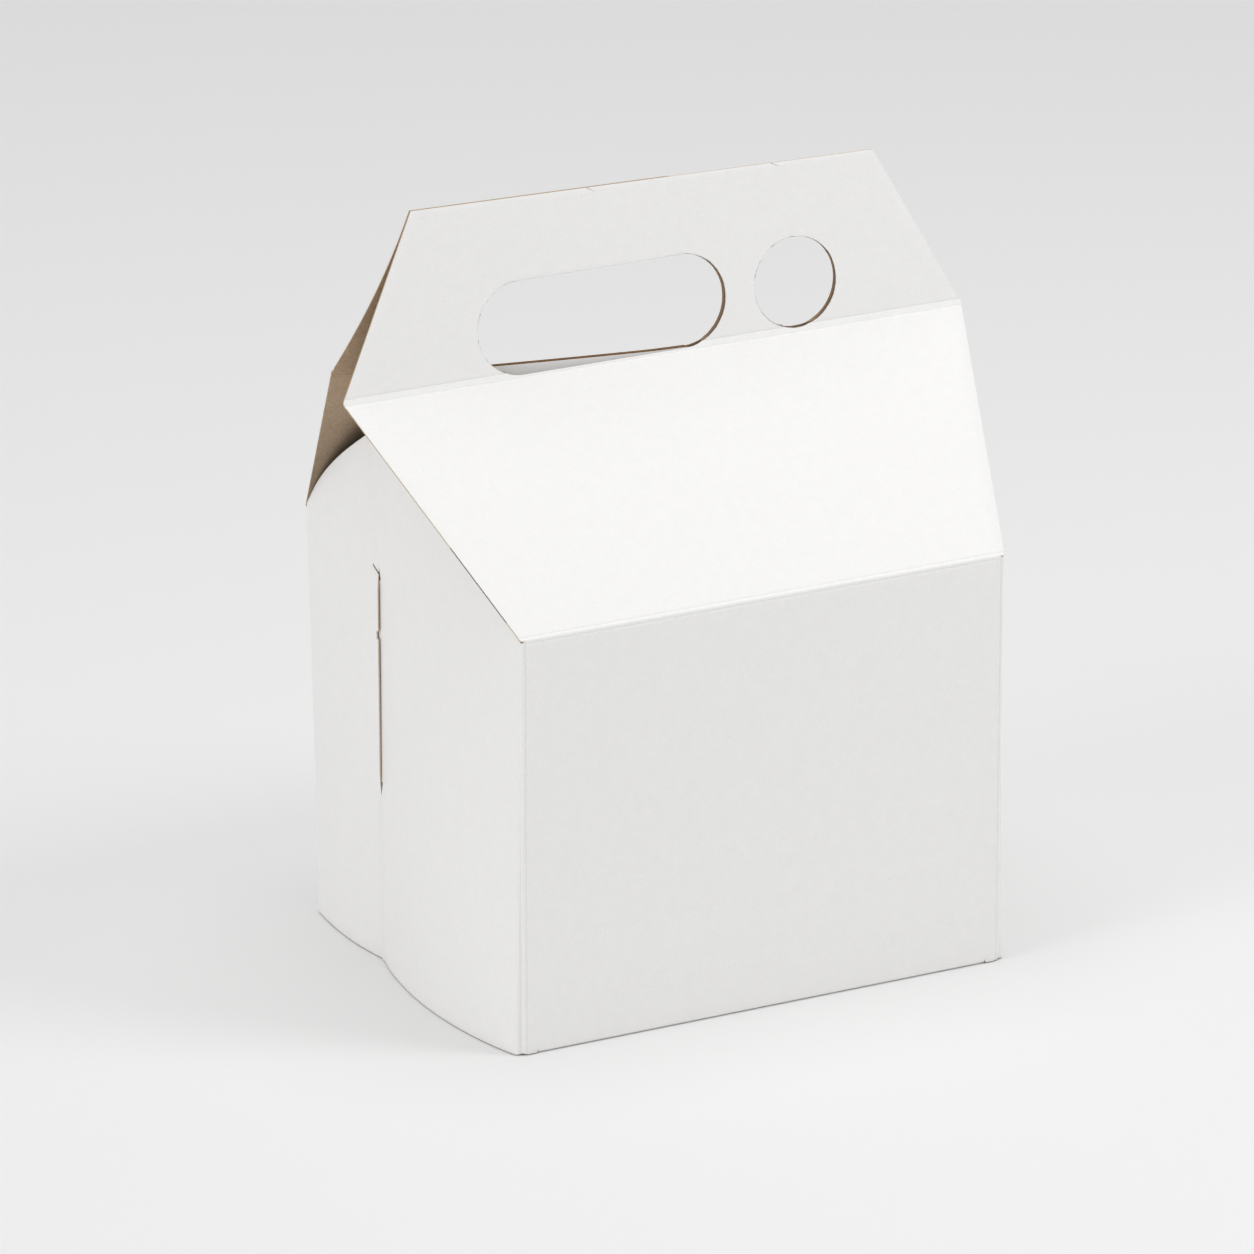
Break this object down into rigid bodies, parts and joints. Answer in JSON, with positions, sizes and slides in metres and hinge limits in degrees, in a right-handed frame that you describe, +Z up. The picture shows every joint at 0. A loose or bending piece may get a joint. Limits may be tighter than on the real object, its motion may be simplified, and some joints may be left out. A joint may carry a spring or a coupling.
{
  "type": "gable carry carton",
  "caption": "White paperboard gable carton for takeaway food, with two hinged roof flaps whose handle panels have a hand slot and a round hole.",
  "frame": {"origin": "middle of the base, on the surface that the carton stands on", "axes": "+Z up, -Y towards the front wall, +X to the right along the ridge"},
  "size_m": [0.206, 0.144, 0.2399],
  "materials": {
    "white_board": "matte"
  },
  "bodies": {
    "carton": {"carton_body": "white_board"},
    "front_roof": {"front_flap": "white_board"},
    "rear_roof": {"rear_flap": "white_board"}
  },
  "joints": [
    {"name": "front_flap_fold", "type": "hinge", "parent": "carton", "child": "front_roof", "pos_m": [0, -0.072, 0.12915], "axis": [1, 0, 0], "range_deg": [0, 180]},
    {"name": "rear_flap_fold", "type": "hinge", "parent": "carton", "child": "rear_roof", "pos_m": [0, 0.072, 0.12915], "axis": [-1, 0, 0], "range_deg": [0, 180]}
  ]
}
